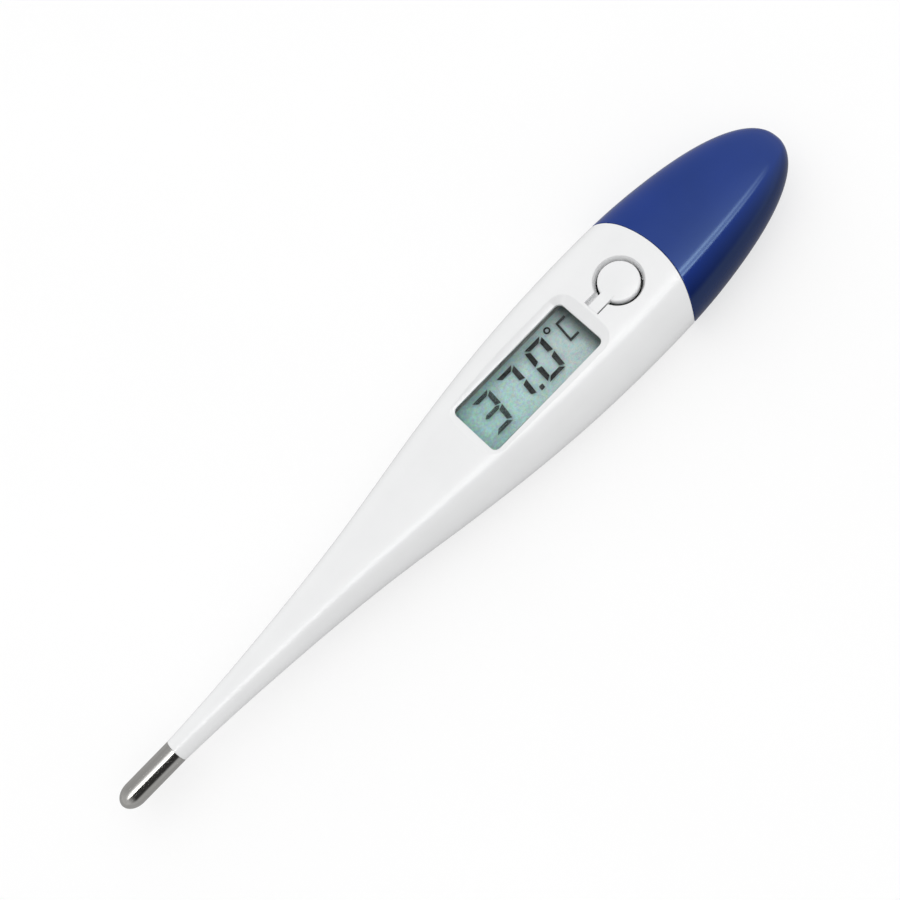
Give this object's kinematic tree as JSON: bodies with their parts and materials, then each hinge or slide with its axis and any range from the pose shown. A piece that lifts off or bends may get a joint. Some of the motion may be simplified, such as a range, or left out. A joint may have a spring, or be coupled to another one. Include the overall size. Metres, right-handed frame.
{
  "type": "digital clinical thermometer",
  "caption": "Pen-shaped clinical thermometer with a rigid steel-tipped probe, a display window, a tongue-sprung push button and a pull-off battery cover.",
  "frame": {"origin": "middle of the overall box in plan, on the flat of the back that the thermometer rests on", "axes": "+X along the thermometer from the steel tip to the battery cover, +Y across, +Z out of the display; the display reads from -X to +X with its top towards +Y"},
  "size_m": [0.126, 0.0194, 0.0107],
  "materials": {
    "white_plastic": "glossy moulded white ABS",
    "blue_plastic": "glossy moulded royal blue ABS",
    "steel_tip": "drawn and polished stainless steel",
    "clear_plastic": "clear moulded plastic",
    "display_glass": "thin display glass",
    "polariser_film": "grey polarising film",
    "reflector_film": "grey-green reflecting film",
    "dark_segment": "darkened liquid crystal",
    "black_plastic": "moulded black plastic",
    "carrier_plastic": "moulded pale grey ABS",
    "black_epoxy": "cured black epoxy",
    "grey_epoxy": "cured grey epoxy",
    "wire_enamel": "enamelled copper",
    "tinned_metal": "tinned spring steel",
    "green_laminate": "glass-epoxy laminate with green resist",
    "striped_rubber": "silicone rubber with carbon layers",
    "tan_ceramic": "sintered ceramic",
    "white_ceramic": "silvered piezo ceramic",
    "brass_disc": "rolled brass",
    "solder": "reflowed solder",
    "cell_steel": "nickel-plated steel",
    "gasket_rubber": "nylon gasket"
  },
  "bodies": {
    "case": {"housing": "white_plastic", "window_lens": "clear_plastic", "probe_tip": "steel_tip", "thermistor_bead": "black_epoxy", "tip_potting": "grey_epoxy", "lead_wires": "wire_enamel"},
    "button": {"power_button": "white_plastic"},
    "carrier": {"switch_body": "black_plastic", "switch_legs": "tinned_metal", "carrier_frame": "carrier_plastic", "circuit_board": "green_laminate", "lcd_rear_polariser": "reflector_film", "lcd_rear_glass": "display_glass", "lcd_seal": "grey_epoxy", "lcd_segments": "dark_segment", "lcd_front_glass": "display_glass", "lcd_front_polariser": "polariser_film", "zebra_strip": "striped_rubber", "chip_cover": "black_epoxy", "resistors": "black_plastic", "capacitors": "tan_ceramic", "buzzer_plate": "brass_disc", "buzzer_ceramic": "white_ceramic", "buzzer_leads": "wire_enamel", "solder_joints": "solder", "battery_case": "cell_steel", "battery_gasket": "gasket_rubber", "battery_negative_cap": "cell_steel", "battery_contact_positive": "tinned_metal", "battery_contact_negative": "tinned_metal"},
    "plunger": {"switch_plunger": "black_plastic"},
    "cover": {"battery_cover": "blue_plastic"}
  },
  "joints": [
    {"name": "button_press", "type": "hinge", "parent": "case", "child": "button", "pos_m": [0.0281, 0, 0.00967], "axis": [0, 1, 0], "range_deg": [0, 4], "stiffness_Nm_per_rad": 0.0002},
    {"name": "carrier_slide", "type": "slide", "parent": "case", "child": "carrier", "axis": [1, 0, 0], "range_m": [0, 0.009], "deforming": ["lead_wires"]},
    {"name": "switch_travel", "type": "slide", "parent": "carrier", "child": "plunger", "axis": [0, 0, -1], "range_m": [0, 0.00036]},
    {"name": "cover_slide", "type": "slide", "parent": "case", "child": "cover", "axis": [1, 0, 0], "range_m": [0, 0.03]}
  ],
  "couplings": [
    {"joint": "switch_travel", "follows": "button_press", "m_per_rad": 0.00515}
  ]
}
